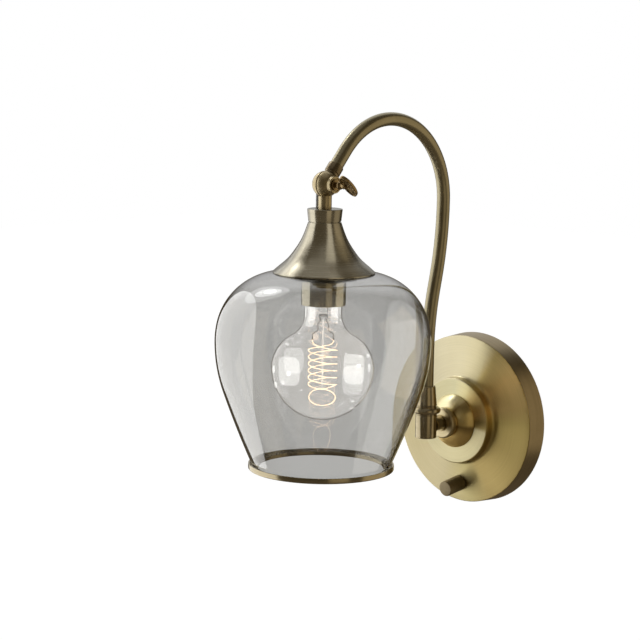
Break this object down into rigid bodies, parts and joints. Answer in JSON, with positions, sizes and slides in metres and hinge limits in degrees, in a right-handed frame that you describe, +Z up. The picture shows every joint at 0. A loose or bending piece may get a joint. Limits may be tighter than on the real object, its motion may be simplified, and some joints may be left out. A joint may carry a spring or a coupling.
{
  "type": "wall lamp",
  "caption": "Swing-arm wall lamp: round plate with knob switch, gooseneck arm, tilting knuckle with thumb screw, flared cap and open glass shade around a globe bulb.",
  "frame": {"origin": "centre of the wall plate and of its strap, on the wall plane", "axes": "+Z up, +Y into the wall, so the lamp stands out along -Y, +X to the right of someone facing the wall"},
  "size_m": [0.1994, 0.3258, 0.3927],
  "materials": {
    "plate_brass": "satin, spun, faint radial light and dark sectors",
    "body_brass": "satin antique brass, streaky along its length",
    "turned_brass": "satin antique brass, turned",
    "cap_brass": "satin antique brass, spun",
    "screw_brass": "satin antique brass, cast and tumbled",
    "plain_brass": "plain machined",
    "zinc_steel": "zinc plated, dull",
    "spring_steel": "plain",
    "shade_glass": "clear, faintly grey, fire polished",
    "bulb_glass": "clear, thin",
    "mount_glass": "clear, pressed",
    "holder_metal": "dark, satin",
    "porcelain": "glazed",
    "shell_metal": "plain",
    "black_glass": "glossy",
    "solder": "dull",
    "wire_metal": "plain",
    "filament": "soft, glowing warm when lit",
    "gasket": "matte",
    "lead_sheath": "matte grey",
    "switch_case": "matte",
    "switch_sleeve": "matte"
  },
  "bodies": {
    "wall_mount": {"back_plate": "plate_brass", "mounting_strap": "zinc_steel", "earth_screw": "zinc_steel", "hub_nipple": "plain_brass", "lock_nuts": "zinc_steel", "lock_washer": "spring_steel", "hub_boss": "plate_brass", "hub_collar": "turned_brass", "stem": "turned_brass", "tee_body": "body_brass", "tee_plug": "body_brass", "hub_lead": "lead_sheath", "switch_body": "switch_case", "switch_bush": "plain_brass", "switch_nut": "zinc_steel", "switch_wires": "switch_sleeve"},
    "arm": {"friction_ring": "turned_brass", "bead_ring": "turned_brass", "arm_ferrule": "body_brass", "pivot_spindle": "plain_brass", "spindle_washer": "spring_steel", "spindle_nut": "zinc_steel", "arm_tube": "body_brass", "arm_lead": "lead_sheath", "upper_knuckle": "turned_brass", "tilt_washer": "spring_steel"},
    "head": {"lower_knuckle": "turned_brass", "cap_collar": "cap_brass", "shade_cap": "cap_brass", "cap_nut": "zinc_steel", "head_nipple": "plain_brass", "head_lead": "lead_sheath", "shade_glass": "shade_glass", "trim_ring": "turned_brass", "shade_ring": "holder_metal", "shade_gasket": "gasket", "holder_skirt": "cap_brass", "holder_dome": "holder_metal", "holder_insert": "porcelain", "screw_shell": "shell_metal", "centre_contact": "plain_brass", "bulb_glass": "bulb_glass", "bulb_cap": "shell_metal", "bulb_insulator": "black_glass", "bulb_contact": "solder", "bulb_stem": "mount_glass", "bulb_supports": "wire_metal", "filament": "filament"},
    "thumb": {"thumb_screw": "screw_brass", "screw_washer": "screw_brass"},
    "knob": {"switch_knob": "body_brass", "switch_shaft": "plain_brass"}
  },
  "joints": [
    {"name": "arm_swing", "type": "hinge", "parent": "wall_mount", "child": "arm", "pos_m": [0, -0.0783, 0], "axis": [0, 0, 1], "range_deg": [-70, 70]},
    {"name": "head_tilt", "type": "hinge", "parent": "arm", "child": "head", "pos_m": [0, -0.22611, 0.24434], "axis": [1, 0, 0], "range_deg": [-90, 12]},
    {"name": "thumb_turn", "type": "hinge", "parent": "arm", "child": "thumb", "pos_m": [0, -0.22611, 0.24434], "axis": [1, 0, 0], "range_deg": [0, 360]},
    {"name": "switch_turn", "type": "hinge", "parent": "wall_mount", "child": "knob", "pos_m": [0, -0.02388, -0.0646], "axis": [0, -0.9903, -0.1392], "continuous": true}
  ]
}
